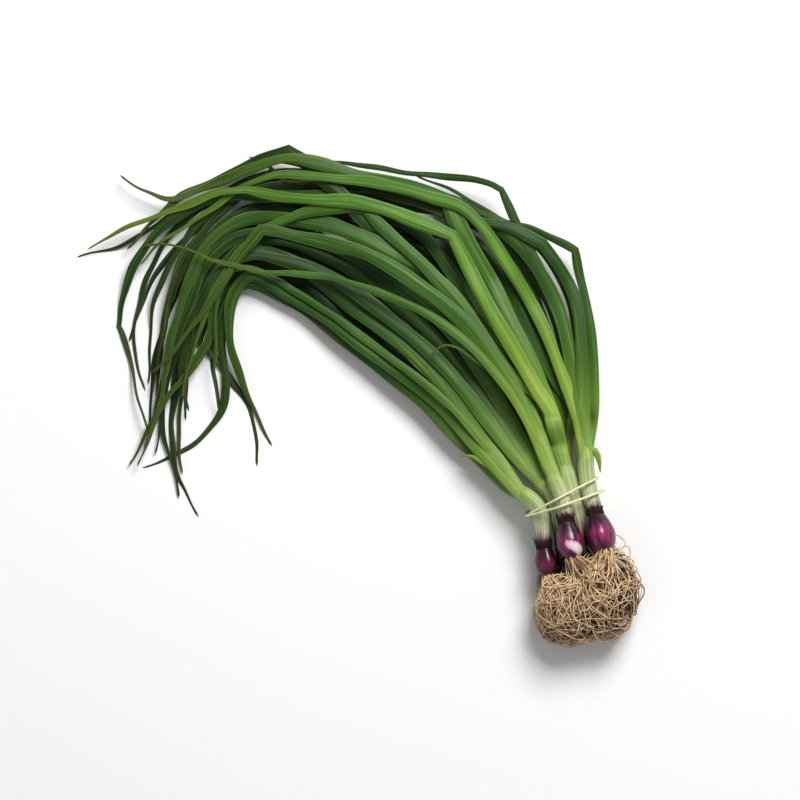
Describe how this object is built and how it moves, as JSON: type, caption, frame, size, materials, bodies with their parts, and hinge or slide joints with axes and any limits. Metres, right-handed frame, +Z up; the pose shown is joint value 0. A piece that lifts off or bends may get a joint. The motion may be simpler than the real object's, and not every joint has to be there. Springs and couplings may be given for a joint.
{
  "type": "spring onion bunch",
  "caption": "Tied bunch of spring onions lying on its side: purple bulbs, pale necks, long flattened green leaves in a sweep, a tangled root mat and a thin rubber band.",
  "frame": {"origin": "on the table surface, under the middle of the bunch as it lies", "axes": "+X towards the bulbs and roots, +Y towards the top of the leaf sweep, +Z up from the table"},
  "size_m": [0.3666, 0.3248, 0.0461],
  "materials": {
    "leaf_green": "waxy satin leaf, pale at the neck",
    "bulb_purple": "glossy purple skin",
    "root_tan": "dry matt root",
    "band_cream": "matt rubber"
  },
  "bodies": {
    "root": {"onion_1_leaves": "leaf_green", "onion_2_leaves": "leaf_green", "onion_3_leaves": "leaf_green", "onion_4_leaves": "leaf_green", "onion_5_leaves": "leaf_green", "onion_6_leaves": "leaf_green", "onion_7_leaves": "leaf_green", "onion_8_leaves": "leaf_green", "onion_9_leaves": "leaf_green", "onion_1_bulb": "bulb_purple", "onion_2_bulb": "bulb_purple", "onion_3_bulb": "bulb_purple", "onion_4_bulb": "bulb_purple", "onion_5_bulb": "bulb_purple", "onion_6_bulb": "bulb_purple", "onion_7_bulb": "bulb_purple", "onion_8_bulb": "bulb_purple", "onion_9_bulb": "bulb_purple", "root_mat": "root_tan", "rubber_band": "band_cream"}
  },
  "joints": []
}
